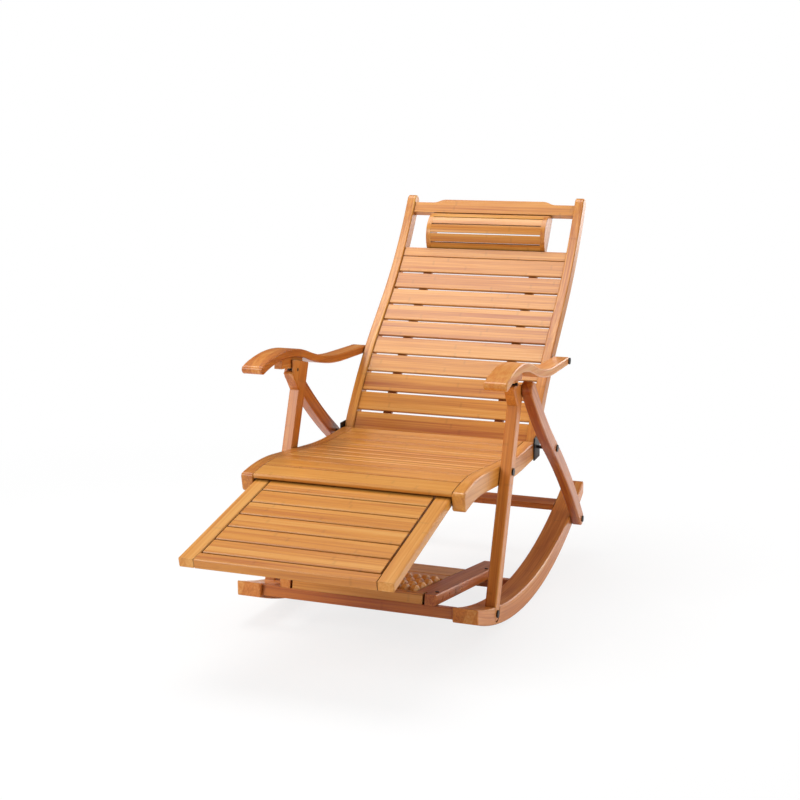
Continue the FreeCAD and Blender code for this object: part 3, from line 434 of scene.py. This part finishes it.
NEAR, FAR, LEAST_LIFT = 0.9, 2.4, 0.8
pale = Finish("pale floor", Base_Color=(0.9, 0.9, 0.9, 1), Roughness=0.9)
from_chair = pale.node("ShaderNodeVectorMath", {"operation": "LENGTH"},
                       {0: pale.node("ShaderNodeTexCoord", output="Object")}, output="Value")
lifted = pale.node("ShaderNodeMapRange", {"interpolation_type": "SMOOTHSTEP"},
                   {"Value": from_chair, "From Min": NEAR, "From Max": FAR,
                    "To Min": LEAST_LIFT, "To Max": 1.0})
seen = pale.node("ShaderNodeLightPath", output="Is Camera Ray")
glow = pale.node("ShaderNodeEmission", None, {"Color": (1, 1, 1, 1), "Strength": 1.0})
shown = pale.node("ShaderNodeMixShader", None,
                  {0: seen * lifted, 1: Wire(pale, pale.shader.outputs[0]), 2: glow})
pale.tree.links.new(shown.socket, pale.tree.nodes["Material Output"].inputs["Surface"])
floor_mesh.materials.append(pale.material)
print("floor", 2 * FLOOR_HALF, "m wide")

# %% [markdown]
# ## The light
# A product picture is lit by large soft lamps: one above, one high at the left front, a weak one on
# the right and one behind. The lamp behind draws the pale sheen along faces that are seen at a low
# angle. The world is white to the camera, dimmer as light on the chair, and dimmer still in the
# lacquer, where it would turn the shaded sides grey.

# %% The world
AROUND_CHAIR, IN_LACQUER = 0.36, 0.1
world = bpy.data.worlds.new("studio")
scene.world = world
world.use_nodes = True
sky = world.node_tree
path = sky.nodes.new("ShaderNodeLightPath")
mirrored = sky.nodes.new("ShaderNodeMapRange")
strength = sky.nodes.new("ShaderNodeMapRange")
mirrored.inputs["To Min"].default_value = AROUND_CHAIR
mirrored.inputs["To Max"].default_value = IN_LACQUER
strength.inputs["To Max"].default_value = 1.0
sky.links.new(path.outputs["Is Glossy Ray"], mirrored.inputs["Value"])
sky.links.new(path.outputs["Is Camera Ray"], strength.inputs["Value"])
sky.links.new(mirrored.outputs[0], strength.inputs["To Min"])
sky.links.new(strength.outputs[0], sky.nodes["Background"].inputs["Strength"])
sky.nodes["Background"].inputs["Color"].default_value = (1, 1, 1, 1)
print("world:", AROUND_CHAIR, "around the chair,", IN_LACQUER, "in the lacquer")


# %% The lamps
def soft_lamp(name, place, aim, size, power):
    lamp = bpy.data.lights.new(name, "AREA")
    lamp.shape, lamp.size, lamp.energy = "DISK", size, power
    holder = bpy.data.objects.new(name, lamp)
    holder.location = place
    holder.rotation_euler = (Vector(aim) - Vector(place)).to_track_quat("-Z", "Y").to_euler()
    scene.collection.objects.link(holder)
    return holder


SEAT_MIDDLE = (0, 0, 0.4)
lamps = [soft_lamp("overhead lamp", (-0.8, 0.1, 3.4), SEAT_MIDDLE, 2.4, 74),
         soft_lamp("front lamp", (-1.9, -2.7, 1.9), SEAT_MIDDLE, 1.6, 52),
         soft_lamp("right lamp", (3.2, 0.2, 1.0), SEAT_MIDDLE, 1.8, 30),
         soft_lamp("rear lamp", (1.5, 3.3, 1.7), SEAT_MIDDLE, 2.4, 46)]
print("lamps:", [(lamp.name, lamp.data.energy) for lamp in lamps])

# %% [markdown]
# ## The camera
# The view is the photograph's: a little to the right of the chair's front and slightly above it.
# The camera is first placed round the level chair, by azimuth, height angle and distance, and then
# turned with the chair's roll, so the picture stays as it was taken.

# %% Set the camera
AZIMUTH, ELEVATION, DISTANCE = 19.111, 12.375, 2.9505
LOOKED_AT = Vector((0, -0.1075, 0.4505))
LENS, SENSOR = 59.55, 36.0
SHIFT = (-0.0198, 0.0034)

eye = bpy.data.cameras.new("photo camera")
eye.lens, eye.sensor_width, eye.sensor_fit = LENS, SENSOR, "HORIZONTAL"
eye.shift_x, eye.shift_y = SHIFT
camera = bpy.data.objects.new("photo camera", eye)
level = (Matrix.Translation(LOOKED_AT) @ Matrix.Rotation(math.radians(AZIMUTH), 4, "Z")
         @ Matrix.Rotation(math.radians(90 - ELEVATION), 4, "X") @ Matrix.Translation((0, 0, DISTANCE)))
camera.matrix_world = settled @ level
scene.collection.objects.link(camera)
scene.camera = camera
scene.view_settings.view_transform = "Standard"
print("camera at", [round(v, 3) for v in camera.matrix_world.translation])
